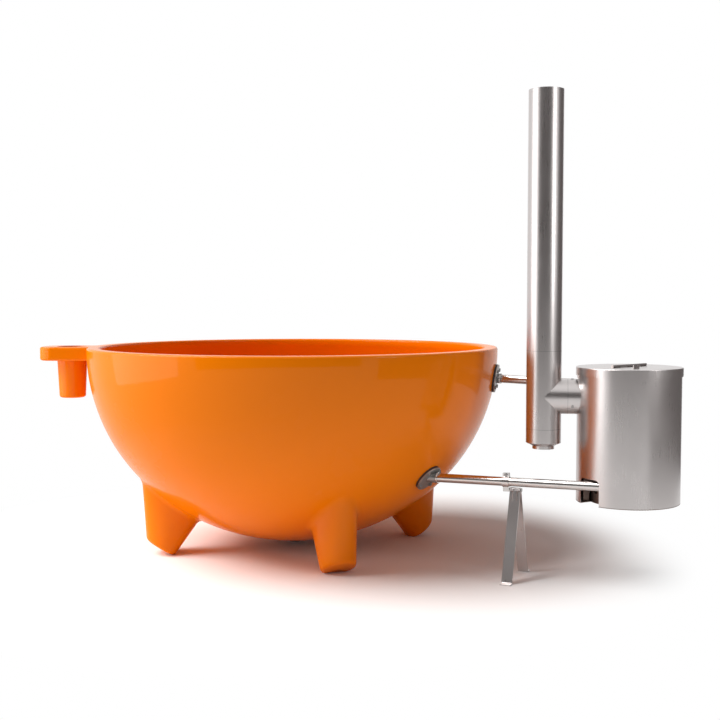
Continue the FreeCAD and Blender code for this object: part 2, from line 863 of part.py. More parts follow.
def make_chimney():
    # Pipe flush with the tee, on a slimmer spigot that stands in it.
    outer = flue_inner - slip_gap
    low = tee_top + seat_gap
    pipe = lathe([
        (outer - flue_wall, low - spigot_depth),
        (outer, low - spigot_depth),
        (outer, low),
        (flue_radius, low),
        (flue_radius, chimney_top),
        (flue_inner, chimney_top),
        (flue_inner, low + flue_wall),
        (outer - flue_wall, low + flue_wall),
    ])
    pipe.translate(flue_axis)
    return pipe


fold_along = bearing_vector(lid_fold_bearing)
fold_out = fold_along.cross(UP)
lid_seat = casing_top + seat_gap
lid_top = lid_seat + lid_plate
hinge_axis = stove_axis + UP * (lid_top + hinge_knuckle_radius)


def lid_half(side):
    # One half of the lid with its share of the hinge knuckles; side 1 is the feeding flap.
    lip = lid_seat - lid_lip + lid_plate
    shell = lathe([
        (0, lid_seat),
        (lid_radius - lid_plate, lid_seat),
        (lid_radius - lid_plate, lip),
        (lid_radius, lip),
        (lid_radius, lid_top, lid_edge),
        (0, lid_top),
    ])
    shell.translate(stove_axis)
    keep = Part.makeBox(lid_radius * 4, lid_radius * 2, lid_radius * 4)
    keep.translate(Vec(-lid_radius * 2, lid_fold_gap / 2, -lid_radius * 2))
    keep.rotate(ORIGIN, UP, lid_fold_bearing - 180 * side)
    keep.translate(stove_axis + UP * lid_top)
    half = shell.common(keep)
    pitch = hinge_length / hinge_knuckle_count
    for index in range(hinge_knuckle_count):
        if (index % 2 == 1) != (side == 1):
            continue
        start = hinge_axis + fold_along * (pitch * index - hinge_length / 2 + hinge_knuckle_gap / 2)
        end = start + fold_along * (pitch - hinge_knuckle_gap)
        barrel = rod(hinge_knuckle_radius, start, end)
        web = Part.makeBox(pitch - hinge_knuckle_gap, hinge_knuckle_radius, hinge_knuckle_radius + lid_plate)
        web.translate(Vec(0, -hinge_knuckle_radius if side == 1 else 0, -hinge_knuckle_radius - lid_plate))
        web.rotate(ORIGIN, UP, lid_fold_bearing)
        web.translate(start)
        half = half.fuse(barrel.fuse(web.common(keep)))
    run = fold_along * lid_radius
    bore = rod(hinge_pin_radius + pin_gap, hinge_axis - run, hinge_axis + run)
    return half.removeSplitter().cut(bore)


def make_flap():
    tab = Part.makeBox(tab_length, tab_thickness, tab_height + lid_plate)
    tab.translate(Vec(-tab_length / 2, 0, -lid_plate))
    tab.rotate(ORIGIN, UP, lid_fold_bearing)
    tab.translate(stove_axis + fold_out * tab_out + fold_along * tab_along + UP * lid_top)
    return lid_half(1).fuse(tab).removeSplitter()


def make_hinge_pin():
    run = fold_along * (hinge_length / 2)
    return rod(hinge_pin_radius, hinge_axis - run, hinge_axis + run)


stand_spot = lower_point + lower_axis * stand_distance
pivot_spot = stand_spot - UP * (pipe_radius + pivot_drop)
leg_drop = pivot_spot.z - leg_thickness / 2
leg_fold = math.degrees(math.atan((stand_spread - leg_offset) / leg_drop))
clamp_start = -leg_width / 2 - clamp_setback - clamp_width


def make_leg(side, tongue):
    # Flat bar from the pivot to a bent foot tab; the tongue leg has the middle knuckle.
    half = leg_thickness / 2
    drop = leg_drop
    slope = math.atan((stand_spread - leg_offset) / drop)
    shift = half / math.cos(slope)
    toe = stand_spread + leg_tab
    corners = [
        (leg_offset - shift, 0),
        (leg_offset + shift, 0),
        (stand_spread + shift - half * math.tan(slope), -drop + half, leg_bend - leg_thickness / 2),
        (toe, -drop + half),
        (toe, -drop - half),
        (stand_spread - shift + half * math.tan(slope), -drop - half, leg_bend),
    ]
    bar = outline(corners).extrude(Vec(0, leg_width, 0))
    bar.translate(Vec(0, -leg_width / 2, 0))
    third = leg_width / 3
    spans = [(-third / 2, third / 2)] if tongue else [(-leg_width / 2, -third / 2), (third / 2, leg_width / 2)]
    others = [(-leg_width / 2, -third / 2), (third / 2, leg_width / 2)] if tongue else [(-third / 2, third / 2)]
    room = knuckle_radius + 2 * knuckle_gap
    for low, high in others:
        bar = bar.cut(rod(room, Vec(0, low - knuckle_gap / 2, 0), Vec(0, high + knuckle_gap / 2, 0)))
    for low, high in spans:
        eye_low = low + knuckle_gap / 2
        eye_high = high - knuckle_gap / 2
        bar = bar.fuse(rod(knuckle_radius, Vec(0, eye_low, 0), Vec(0, eye_high, 0)))
    if tongue:
        for edge in (-third / 2 - leg_slot_width, third / 2):
            slot = Part.makeBox(leg_slot_length, leg_slot_width, leg_slot_length, Vec(0, edge, -leg_slot_length))
            bar = bar.cut(slot)
    bore = rod(pivot_radius + pin_gap, Vec(0, -leg_width, 0), Vec(0, leg_width, 0))
    bar = bar.removeSplitter().cut(bore)
    bar.rotate(ORIGIN, UP, 90 * side)
    bar.translate(pivot_spot)
    return bar


def make_pivot():
    start = pivot_spot + AXIS_X * clamp_start
    end = pivot_spot + AXIS_X * (leg_width / 2 + knuckle_gap)
    head = rod(pivot_head_radius, end, end + AXIS_X * pivot_head_height)
    return head.fuse(rod(pivot_radius, start, end)).removeSplitter()


def make_clamp():
    # Split ring on the pipe: ears with a bolt above, a lug with the pivot pin below.
    start = stand_spot + lower_axis * clamp_start
    end = start + lower_axis * clamp_width
    middle = (start + end) / 2
    outer = pipe_radius + clamp_wall
    ring = rod(outer, start, end)
    ears_high = outer + clamp_ear_height
    side = UP.cross(lower_axis).normalize()
    lug_low = pivot_drop + pipe_radius + pivot_radius + clamp_wall
    block = Part.makeBox(clamp_width, clamp_ear_width, ears_high)
    block.translate(Vec(-clamp_width / 2, -clamp_ear_width / 2, 0))
    lug = Part.makeBox(clamp_width, clamp_ear_width, lug_low)
    lug.translate(Vec(-clamp_width / 2, -clamp_ear_width / 2, -lug_low))
    split = Part.makeBox(clamp_width * 2, clamp_ear_gap, ears_high * 2)
    split.translate(Vec(-clamp_width, -clamp_ear_gap / 2, 0))
    turn = FreeCAD.Placement(middle, FreeCAD.Rotation(lower_axis, side, UP, "XYZ"))
    for shape in (block, lug, split):
        shape.Placement = turn.multiply(shape.Placement)
    clamp = ring.fuse(block).fuse(lug).cut(split)
    clamp = clamp.cut(rod(pipe_radius + thread_gap, start - lower_axis * overrun, end + lower_axis * overrun))
    reach = AXIS_X * clamp_width * 2
    clamp = clamp.cut(rod(pivot_radius + thread_gap, pivot_spot + AXIS_X * clamp_start - reach, pivot_spot))
    level = middle + UP * (outer + clamp_ear_height / 2)
    width = side * (clamp_ear_width / 2)
    bore = rod(clamp_bolt_radius + thread_gap, level - width * 2, level + width * 2)
    head = rod(clamp_bolt_head_radius, level - width - side * clamp_bolt_head_height, level - width)
    nut = rod(clamp_bolt_head_radius, level + width, level + width + side * clamp_bolt_head_height)
    bolt = head.fuse(rod(clamp_bolt_radius, level - width, level + width)).fuse(nut).removeSplitter()
    return clamp.cut(bore), bolt


def build():
    bowl_block = make_bowl_block(360)
    cavity = make_cavity()
    span = rim_radius * 4
    ground = Part.makeBox(span, span, rim_height, Vec(-span / 2, -span / 2, -rim_height))
    parts = {}
    bowl = make_bowl()
    foot = make_foot(ground)
    for name, bearing in foot_places.items():
        parts[name] = foot.copy()
        parts[name].rotate(ORIGIN, UP, bearing - foot_drawn_bearing)
    bolts, bores = shelf_bolt_parts()
    bowl = bowl.cut(bores)
    parts["drinks_shelf"] = make_shelf(bowl_block).cut(bores)
    parts["shelf_bolts"] = bolts
    parts["cooler_bucket"] = make_bucket()
    drain, drain_hole = make_drain(bowl_block, cavity)
    parts.update(drain)
    bowl = bowl.cut(drain_hole)
    coil, coil_begin, coil_finish = make_coil()
    parts["heating_coil"] = coil
    ends = {}
    fittings = {"lower": (lower_point, lower_normal, lower_axis), "upper": (upper_point, upper_normal, upper_axis)}
    for name, (point, normal, axis) in fittings.items():
        pieces, opening, ends[name] = make_fitting(point, normal, axis, bowl_block, cavity)
        bowl = bowl.cut(opening)
        parts.update({name + "_" + piece: shape for piece, shape in pieces.items()})
    parts["tub_bowl"] = bowl
    bore = pipe_radius - pipe_wall
    parts["lower_pipe"] = tube(pipe_radius, bore, ends["lower"], coil_begin)
    parts["upper_pipe"] = tube(pipe_radius, bore, ends["upper"], coil_finish)
    parts["stove_casing"] = make_casing()
    parts["base_plate"] = make_base()
    parts["fire_basket"] = make_basket()
    parts["fire_grate"] = make_grate()
    parts["coil_supports"] = make_supports()
    parts["collar_rivets"] = make_rivets()
    parts["flue_collar"] = make_flue_collar().cut(parts["collar_rivets"])
    parts["flue_tee"] = make_tee()
    parts["tee_cap"] = make_cap()
    parts["chimney_pipe"] = make_chimney()
    parts["lid_fixed_half"] = lid_half(0)
    parts["lid_flap"] = make_flap()
    parts["lid_hinge_pin"] = make_hinge_pin()
    parts["stand_front_leg"] = make_leg(-1, True)
    parts["stand_rear_leg"] = make_leg(1, False)
    parts["stand_pivot_pin"] = make_pivot()
    parts["stand_clamp"], parts["stand_clamp_bolt"] = make_clamp()
    return parts


# Middle of the footprint, from the shelf's rounded outer corner to the lid's far side
shelf_turn = math.radians(shelf_bearing - 180)
corner_out = (shelf_reach - shelf_corner) * math.cos(shelf_turn)
corner_side = (shelf_width / 2 - shelf_corner) * abs(math.sin(shelf_turn))
footprint_low = -(corner_out + corner_side + shelf_corner)
footprint_high = stove_distance + lid_radius
middle_x = (footprint_low + footprint_high) / 2

print("least gap between coil turns", round(coil_gap(), 2))
os.makedirs("parts", exist_ok=True)
for node, shape in build().items():
    shape.translate(Vec(-middle_x, 0, 0))
    shape.exportStep("parts/" + node + ".step")
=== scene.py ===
import json
import math
import bmesh
import bpy
from mathutils import Matrix, Vector


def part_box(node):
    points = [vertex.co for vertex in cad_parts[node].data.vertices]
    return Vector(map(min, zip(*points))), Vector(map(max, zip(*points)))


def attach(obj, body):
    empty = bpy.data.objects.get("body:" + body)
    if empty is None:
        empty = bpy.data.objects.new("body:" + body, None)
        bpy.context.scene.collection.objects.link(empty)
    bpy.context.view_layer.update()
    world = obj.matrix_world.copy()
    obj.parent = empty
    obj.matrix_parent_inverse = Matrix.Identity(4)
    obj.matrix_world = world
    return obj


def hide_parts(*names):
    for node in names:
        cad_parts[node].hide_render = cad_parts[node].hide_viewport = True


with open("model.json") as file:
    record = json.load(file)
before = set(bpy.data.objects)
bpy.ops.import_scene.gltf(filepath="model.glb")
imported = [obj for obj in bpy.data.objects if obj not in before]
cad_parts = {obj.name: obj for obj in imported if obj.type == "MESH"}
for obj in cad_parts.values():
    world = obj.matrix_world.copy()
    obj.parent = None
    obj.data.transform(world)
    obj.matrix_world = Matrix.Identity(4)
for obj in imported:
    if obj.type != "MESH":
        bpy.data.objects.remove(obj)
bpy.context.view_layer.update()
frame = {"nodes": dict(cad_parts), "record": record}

up = Vector((0, 0, 1))
nodes = frame["nodes"]
print("frame loaded:", len(nodes), "nodes")


# shared mesh helpers

def finishMesh(name, bm, sharpAngle=35):
    bmesh.ops.recalc_face_normals(bm, faces=bm.faces)
    mesh = bpy.data.meshes.new(name)
    bm.to_mesh(mesh)
    bm.free()
    mesh.shade_smooth()
    mesh.set_sharp_from_angle(angle=math.radians(sharpAngle))
    piece = bpy.data.objects.new(name, mesh)
    bpy.context.scene.collection.objects.link(piece)
    return piece


def seat(piece, body, material, slotName, *replaced):
    piece.data.materials.clear()
    piece.data.materials.append(material)
    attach(piece, body)
    if replaced:
        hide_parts(*replaced)


def towards(origin, axis):
    return Matrix.Translation(origin) @ up.rotation_difference(Vector(axis)).to_matrix().to_4x4()


def roundCorners(corners, steps=6):
    # corners are (radius, height) or (radius, height, rounding); gives a closed list of points
    points = []
    count = len(corners)
    for index, corner in enumerate(corners):
        here = Vector(corner[:2])
        if len(corner) < 3:
            points.append(here)
            continue
        back = (Vector(corners[index - 1][:2]) - here).normalized()
        ahead = (Vector(corners[(index + 1) % count][:2]) - here).normalized()
        half = back.angle(ahead) / 2
        run = corner[2] / math.tan(half)
        centre = here + (back + ahead).normalized() * (corner[2] / math.sin(half))
        start = here + back * run - centre
        end = here + ahead * run - centre
        swing = start.angle_signed(end)
        for step in range(steps + 1):
            turn = Matrix.Rotation(-swing * step / steps, 2)
            points.append(centre + turn @ start)
    return points


def spin(bm, points, segments, place=Matrix.Identity(4), closed=True):
    # lathe of (radius, height) points about the place's own Z
    rings = []
    for point in points:
        if point[0] < 1e-6:
            rings.append([bm.verts.new(place @ Vector((0, 0, point[1])))])
            continue
        ring = []
        for index in range(segments):
            angle = 2 * math.pi * index / segments
            spot = Vector((point[0] * math.cos(angle), point[0] * math.sin(angle), point[1]))
            ring.append(bm.verts.new(place @ spot))
        rings.append(ring)
    pairs = list(zip(rings[:-1], rings[1:]))
    if closed:
        pairs.append((rings[-1], rings[0]))
    for lower, higher in pairs:
        bridge(bm, lower, higher)


def bridge(bm, lower, higher):
    if len(lower) == 1 and len(higher) == 1:
        return
    count = max(len(lower), len(higher))
    for index in range(count):
        following = (index + 1) % count
        if len(lower) == 1:
            bm.faces.new((lower[0], higher[following], higher[index]))
        elif len(higher) == 1:
            bm.faces.new((lower[index], lower[following], higher[0]))
        else:
            bm.faces.new((lower[index], lower[following], higher[following], higher[index]))


# shared material groups

def newGroup(name, inputs, outputs):
    group = bpy.data.node_groups.new(name, "ShaderNodeTree")
    for label, kind, value in inputs:
        socket = group.interface.new_socket(name=label, in_out="INPUT", socket_type=kind)
        socket.default_value = value
    for label, kind in outputs:
        group.interface.new_socket(name=label, in_out="OUTPUT", socket_type=kind)
    return group, group.nodes.new("NodeGroupInput"), group.nodes.new("NodeGroupOutput")


grainShape = {"detail": 4, "smudgeScale": 9, "smudgeDetail": 3, "share": 0.5, "low": 0.3, "high": 0.7}


def makeBrushedGrain():
    # fine scratches drawn out along one axis, as a rolled and brushed sheet shows
    group, source, sink = newGroup(
        "brushedGrain",
        [("Stretch", "NodeSocketVector", (1, 1, 1)), ("Scale", "NodeSocketFloat", 40),
         ("Smooth", "NodeSocketFloat", 0.2), ("Rough", "NodeSocketFloat", 0.4)],
        [("Roughness", "NodeSocketFloat"), ("Height", "NodeSocketFloat"), ("Smudge", "NodeSocketFloat")],
    )
    link = group.links.new
    place = group.nodes.new("ShaderNodeTexCoord")
    stretch = group.nodes.new("ShaderNodeVectorMath")
    stretch.operation = "MULTIPLY"
    link(place.outputs["Object"], stretch.inputs[0])
    link(source.outputs["Stretch"], stretch.inputs[1])
    grain = group.nodes.new("ShaderNodeTexNoise")
    grain.inputs["Detail"].default_value = grainShape["detail"]
    link(stretch.outputs[0], grain.inputs["Vector"])
    link(source.outputs["Scale"], grain.inputs["Scale"])
    smudge = group.nodes.new("ShaderNodeTexNoise")
    smudge.inputs["Scale"].default_value = grainShape["smudgeScale"]
    smudge.inputs["Detail"].default_value = grainShape["smudgeDetail"]
    link(place.outputs["Object"], smudge.inputs["Vector"])
    blend = group.nodes.new("ShaderNodeMath")
    blend.operation = "MULTIPLY_ADD"
    blend.inputs[1].default_value = grainShape["share"]
    link(smudge.outputs["Fac"], blend.inputs[0])
    half = group.nodes.new("ShaderNodeMath")
    half.operation = "MULTIPLY"
    half.inputs[1].default_value = grainShape["share"]
    link(grain.outputs["Fac"], half.inputs[0])
    link(half.outputs[0], blend.inputs[2])
    spread = group.nodes.new("ShaderNodeMapRange")
    spread.inputs["From Min"].default_value = grainShape["low"]
    spread.inputs["From Max"].default_value = grainShape["high"]
    link(blend.outputs[0], spread.inputs["Value"])
    link(source.outputs["Smooth"], spread.inputs["To Min"])
    link(source.outputs["Rough"], spread.inputs["To Max"])
    link(spread.outputs["Result"], sink.inputs["Roughness"])
    link(grain.outputs["Fac"], sink.inputs["Height"])
    link(smudge.outputs["Fac"], sink.inputs["Smudge"])
    return group


driftShape = {"detail": 5, "low": 0.3, "high": 0.7, "speckleScale": 260, "speckleDetail": 2}


def makeToneDrift():
    # slow drift between two tones with a fine speckle, for moulded and cast skins
    group, source, sink = newGroup(
        "toneDrift",
        [("Tone", "NodeSocketColor", (1, 1, 1, 1)), ("Other Tone", "NodeSocketColor", (1, 1, 1, 1)),
         ("Scale", "NodeSocketFloat", 5), ("Smooth", "NodeSocketFloat", 0.1), ("Rough", "NodeSocketFloat", 0.2)],
        [("Color", "NodeSocketColor"), ("Roughness", "NodeSocketFloat"), ("Height", "NodeSocketFloat")],
    )
    link = group.links.new
    place = group.nodes.new("ShaderNodeTexCoord")
    drift = group.nodes.new("ShaderNodeTexNoise")
    drift.inputs["Detail"].default_value = driftShape["detail"]
    link(place.outputs["Object"], drift.inputs["Vector"])
    link(source.outputs["Scale"], drift.inputs["Scale"])
    mix = group.nodes.new("ShaderNodeMix")
    mix.data_type = "RGBA"
    link(drift.outputs["Fac"], mix.inputs["Factor"])
    link(source.outputs["Tone"], mix.inputs["A"])
    link(source.outputs["Other Tone"], mix.inputs["B"])
    spread = group.nodes.new("ShaderNodeMapRange")
    spread.inputs["From Min"].default_value = driftShape["low"]
    spread.inputs["From Max"].default_value = driftShape["high"]
    link(drift.outputs["Fac"], spread.inputs["Value"])
    link(source.outputs["Smooth"], spread.inputs["To Min"])
    link(source.outputs["Rough"], spread.inputs["To Max"])
    speckle = group.nodes.new("ShaderNodeTexNoise")
    speckle.inputs["Scale"].default_value = driftShape["speckleScale"]
    speckle.inputs["Detail"].default_value = driftShape["speckleDetail"]
    link(place.outputs["Object"], speckle.inputs["Vector"])
    link(mix.outputs["Result"], sink.inputs["Color"])
    link(spread.outputs["Result"], sink.inputs["Roughness"])
    link(speckle.outputs["Fac"], sink.inputs["Height"])
    return group


brushedGrain = makeBrushedGrain()
toneDrift = makeToneDrift()


def newMaterial(name):
    material = bpy.data.materials.new(name)
    material.use_nodes = True
    return material, material.node_tree.nodes, material.node_tree.links.new


def addBump(nodesOf, link, height, strength, distance):
    bump = nodesOf.new("ShaderNodeBump")
    bump.inputs["Strength"].default_value = strength
    bump.inputs["Distance"].default_value = distance
    link(height, bump.inputs["Height"])
    link(bump.outputs["Normal"], nodesOf["Principled BSDF"].inputs["Normal"])


def placeGroup(nodesOf, group, values):
    place = nodesOf.new("ShaderNodeGroup")
    place.node_tree = group
    for label, value in values.items():
        place.inputs[label].default_value = value
    return place


def moulded(name, look):
    # gelcoat, rubber and moulded plastic: drifting tone, soft speckle
    material, nodesOf, link = newMaterial(name)
    shader = nodesOf["Principled BSDF"]
    group = placeGroup(nodesOf, toneDrift, look["drift"])
    link(group.outputs["Color"], shader.inputs["Base Color"])
    link(group.outputs["Roughness"], shader.inputs["Roughness"])
    shader.inputs["Coat Weight"].default_value = look.get("coat", 0)
    shader.inputs["Coat Roughness"].default_value = look.get("coatRoughness", 0.03)
    shader.inputs["Specular IOR Level"].default_value = look.get("specular", 0.5)
    addBump(nodesOf, link, group.outputs["Height"], look["bump"], look["bumpDepth"])
    return material


def brushed(name, look):
    # stainless sheet and tube: grain in the roughness and a faint relief
    material, nodesOf, link = newMaterial(name)
    shader = nodesOf["Principled BSDF"]
    shader.inputs["Metallic"].default_value = 1
    group = placeGroup(nodesOf, brushedGrain, look["grain"])
    mix = nodesOf.new("ShaderNodeMix")
    mix.data_type = "RGBA"
    mix.inputs["A"].default_value = look["tone"]
    mix.inputs["B"].default_value = look["otherTone"]
    link(group.outputs["Smudge"], mix.inputs["Factor"])
    link(mix.outputs["Result"], shader.inputs["Base Color"])
    link(group.outputs["Roughness"], shader.inputs["Roughness"])
    addBump(nodesOf, link, group.outputs["Height"], look["bump"], look["bumpDepth"])
    return material


gelcoatLook = {
    "drift": {
        "Tone": (0.87, 0.2, 0.0005, 1), "Other Tone": (0.84, 0.188, 0.0005, 1),
        "Scale": 2.2, "Smooth": 0.22, "Rough": 0.28,
    },
    "coat": 0.22, "coatRoughness": 0.04, "specular": 0.03, "bump": 0.02, "bumpDepth": 0.0003,
}
sheetLook = {
    "grain": {"Stretch": (1, 1, 0.03), "Scale": 300, "Smooth": 0.26, "Rough": 0.33},
    "tone": (0.6, 0.565, 0.555, 1), "otherTone": (0.54, 0.505, 0.495, 1), "bump": 0.012, "bumpDepth": 0.0002,
}
pipeLook = {
    "grain": {"Stretch": (0.03, 1, 1), "Scale": 300, "Smooth": 0.16, "Rough": 0.26},
    "tone": (0.66, 0.63, 0.61, 1), "otherTone": (0.6, 0.57, 0.55, 1), "bump": 0.03, "bumpDepth": 0.0002,
}
flangeLook = {
    "grain": {"Stretch": (1, 1, 1), "Scale": 160, "Smooth": 0.38, "Rough": 0.55},
    "tone": (0.42, 0.405, 0.395, 1), "otherTone": (0.33, 0.32, 0.31, 1), "bump": 0.08, "bumpDepth": 0.0003,
}
boltLook = {
    "grain": {"Stretch": (1, 1, 1), "Scale": 220, "Smooth": 0.28, "Rough": 0.45},
    "tone": (0.4, 0.39, 0.38, 1), "otherTone": (0.3, 0.29, 0.28, 1), "bump": 0.05, "bumpDepth": 0.0002,
}
firedLook = {
    "grain": {"Stretch": (1, 1, 0.4), "Scale": 60, "Smooth": 0.4, "Rough": 0.65},
    "tone": (0.3, 0.2, 0.15, 1), "otherTone": (0.16, 0.13, 0.13, 1), "bump": 0.1, "bumpDepth": 0.0004,
}
rubberLook = {
    "drift": {
        "Tone": (0.022, 0.021, 0.021, 1), "Other Tone": (0.035, 0.033, 0.032, 1),
        "Scale": 30, "Smooth": 0.55, "Rough": 0.7,
    },
    "bump": 0.15, "bumpDepth": 0.0003,
}
fittingLook = {
    "drift": {
        "Tone": (0.1, 0.1, 0.105, 1), "Other Tone": (0.13, 0.13, 0.135, 1),
        "Scale": 20, "Smooth": 0.4, "Rough": 0.5,
    },
    "bump": 0.1, "bumpDepth": 0.0003,
}
materials = {
    "orange_gelcoat": moulded("orangeGelcoat", gelcoatLook),
    "satin_stainless": brushed("satinStainless", sheetLook),
    "pipe_stainless": brushed("pipeStainless", pipeLook),
    "flange_plate": brushed("flangePlate", flangeLook),
    "bolt_steel": brushed("boltSteel", boltLook),
    "heat_tinted_steel": brushed("heatTintedSteel", firedLook),
    "black_rubber": moulded("blackRubber", rubberLook),
    "grey_fitting_plastic": moulded("greyFittingPlastic", fittingLook),
}
for entry in frame["record"]["subparts"]:
    node = nodes[entry["node"]]
    for index in range(len(node.material_slots)):
        node.material_slots[index].material = materials[entry["material_slot"]]
print("materials placed:", len(materials))

# bowl

bowlLow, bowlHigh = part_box("tub_bowl")
bowl = {
    "centre": Vector(((bowlLow.x + bowlHigh.x) / 2, (bowlLow.y + bowlHigh.y) / 2, 0)),
    "radius": (bowlHigh.x - bowlLow.x) / 2,
    "rimHeight": bowlHigh.z,
    "bottom": bowlLow.z,
    "wall": 0.010,
    "rimWidth": 0.052,
    "rimRound": 0.009,
    "rimDepth": 0.036,
    "rimTaper": 0.080,
    "segments": 126,
    "curveSteps": 40,
    "cornerSteps": 8,
    "weld": 1e-6,
    "sharpAngle": 60,
}
bowl["wallTop"] = bowl["rimHeight"] - bowl["rimRound"]


def bowlCurve(reach, depth):
    # the two tangent arcs of the bowl's wall, level at the pole and upright at the rim
    total = reach + depth
    spread = (math.sqrt(total ** 2 + 2 * (reach ** 2 + depth ** 2)) - total) / 2
    joinOut = (reach + spread) / 2
    joinDrop = (depth + spread) / 2
    square = joinOut ** 2 + joinDrop ** 2
    return {
        "reach": reach, "depth": depth, "joinDrop": joinDrop,
        "low": (square - depth ** 2) / (2 * (depth - joinDrop)),
        "high": (reach ** 2 - square) / (2 * (reach - joinOut)),
    }


def curveRadius(curve, drop):
    if drop <= curve["joinDrop"]:
        arc = curve["reach"] - curve["high"]
        return curve["high"] + math.sqrt(max(arc ** 2 - drop ** 2, 0))
    arc = curve["low"] + curve["depth"]
    return math.sqrt(max(arc ** 2 - (drop + curve["low"]) ** 2, 0))


outerCurve = bowlCurve(bowl["radius"], bowl["wallTop"] - bowl["bottom"])
innerCurve = bowlCurve(bowl["radius"] - bowl["wall"], bowl["wallTop"] - bowl["bottom"] - bowl["wall"])


def curvePoints(curve, topDrop, steps):
    points = []
    for step in range(steps + 1):
        drop = topDrop + (curve["depth"] - topDrop) * math.sin(step / steps * math.pi / 2)
        points.append(Vector((curveRadius(curve, drop) if step < steps else 0, bowl["wallTop"] - drop)))
    return points


def makeBowl():
    outer = curvePoints(outerCurve, 0, bowl["curveSteps"])[::-1]
    inner = curvePoints(innerCurve, bowl["rimTaper"], bowl["curveSteps"])
    rimInner = bowl["radius"] - bowl["rimWidth"]
    top = bowl["rimHeight"]
    brow = roundCorners([
        (bowl["radius"], top - bowl["rimRound"] * 2),
        (bowl["radius"], top, bowl["rimRound"]),
        (rimInner, top, bowl["rimRound"]),
        (rimInner, top - bowl["rimDepth"]),
    ], bowl["cornerSteps"])[1:]
    bm = bmesh.new()
    spin(bm, outer[:-1] + brow + inner, bowl["segments"], Matrix.Translation(bowl["centre"]), False)
    bmesh.ops.remove_doubles(bm, verts=bm.verts, dist=bowl["weld"])
    return finishMesh("tubBowl", bm, bowl["sharpAngle"])


seat(makeBowl(), "tub", materials["orange_gelcoat"], "orange_gelcoat", "tub_bowl")
print("bowl made")

# feet

feet = {
    "places": {
        "foot_stove_front": -44.0, "foot_stove_rear": 44.0,
        "foot_shelf_rear": 135.5, "foot_shelf_front": -135.5,
    },
    "inner": 0.507, "outer": 0.620, "width": 0.136,
    "top": 0.330, "topInner": 0.256, "topOuter": 0.641, "topWidth": 0.192,
    "contact": 0.530, "endTilt": 32.0, "endRound": 0.012,
    "blend": 0.024, "blendLimit": 0.6, "sink": 0.0004, "slopeStep": 0.001,
    "points": 96, "searches": 40, "endSteps": 7, "sideSteps": 6, "blendSteps": 8, "sharpAngle": 40,
}


def bowlReach(height):
    drop = min(max(bowl["wallTop"] - height, 0), outerCurve["depth"])
    return curveRadius(outerCurve, drop)


def ontoBowl(spot):
    scale = (bowlReach(spot.z) - feet["sink"]) / math.hypot(spot.x, spot.y)
    return Vector((spot.x * scale, spot.y * scale, spot.z))


def bowlNormal(spot):
    step = feet["slopeStep"]
    slope = (bowlReach(spot.z + step) - bowlReach(spot.z - step)) / (2 * step)
    out = Vector((spot.x, spot.y, 0)).normalized()
    return (out - up * slope).normalized()


def footOval(inner, outer, width, height):
    middle, half = (inner + outer) / 2, (outer - inner) / 2
    turns = [2 * math.pi * index / feet["points"] for index in range(feet["points"])]
    return [Vector((middle + half * math.cos(turn), width / 2 * math.sin(turn), height)) for turn in turns]


def footRings():
    # rings from the middle of the tilted end up to the soft blend into the bowl
    low = footOval(feet["inner"], feet["outer"], feet["width"], 0)
    high = footOval(feet["topInner"], feet["topOuter"], feet["topWidth"], feet["top"])
    tilt = math.radians(feet["endTilt"])
    inward = Vector((-math.sin(tilt), 0, math.cos(tilt)))
    heel = Vector((feet["contact"], 0, 0))
    joins = []
    for start, finish in zip(low, high):
        near, far = 0.0, 1.0
        for _ in range(feet["searches"]):
            half = (near + far) / 2
            spot = start.lerp(finish, half)
            near, far = (half, far) if math.hypot(spot.x, spot.y) > bowlReach(spot.z) else (near, half)
        joins.append(start.lerp(finish, near))
    rings = []
    for step in range(feet["endSteps"] + 1):
        turn = math.pi / 2 * step / feet["endSteps"]
        depth = feet["endRound"] * (1 - math.cos(turn))
        inset = feet["endRound"] * (1 - math.sin(turn))
        ring = []
        for start, finish in zip(low, high):
            run = finish - start
            ring.append(start + run * ((depth - inward.dot(start - heel)) / inward.dot(run)))
        middle = sum(ring, Vector()) / len(ring)
        ring = [spot + (middle - spot).normalized() * inset for spot in ring]
        rings.append([Vector((spot.x, spot.y, max(spot.z, 0))) for spot in ring])
    base = rings[-1]
    centre = sum(joins, Vector()) / len(joins)
    blendStart, blendEnd = [], []
    for spot, join in zip(base, joins):
        back = (spot - join).normalized()
        blendStart.append(join + back * min(feet["blend"], (spot - join).length * feet["blendLimit"]))
        normal = bowlNormal(join)
        away = join - centre
        away = (away - normal * away.dot(normal)).normalized()
        blendEnd.append(ontoBowl(join + away * feet["blend"]))
    for step in range(1, feet["sideSteps"] + 1):
        share = step / feet["sideSteps"]
        rings.append([spot.lerp(finish, share) for spot, finish in zip(base, blendStart)])
    for step in range(1, feet["blendSteps"] + 1):
        share = step / feet["blendSteps"]
        rings.append([
            first.lerp(join, share).lerp(join.lerp(last, share), share)
            for first, join, last in zip(blendStart, joins, blendEnd)
        ])
    return [[sum(rings[0], Vector()) / len(rings[0])]] + rings


def makeFoot(name, rings, bearing):
    place = Matrix.Translation(bowl["centre"]) @ Matrix.Rotation(math.radians(bearing), 4, "Z")
    bm = bmesh.new()
    loops = [[bm.verts.new(place @ spot) for spot in ring] for ring in rings]
    for lower, higher in zip(loops[:-1], loops[1:]):
        bridge(bm, lower, higher)
    return finishMesh(name, bm, feet["sharpAngle"])


footProfile = footRings()
for footName, bearing in feet["places"].items():
    words = footName.split("_")
    piece = makeFoot(words[0] + words[1].title() + words[2].title(), footProfile, bearing)
    seat(piece, "tub", materials["orange_gelcoat"], "orange_gelcoat", footName)
print("feet made:", len(feet["places"]))

# seams of the flue, where one sheet slips into the next

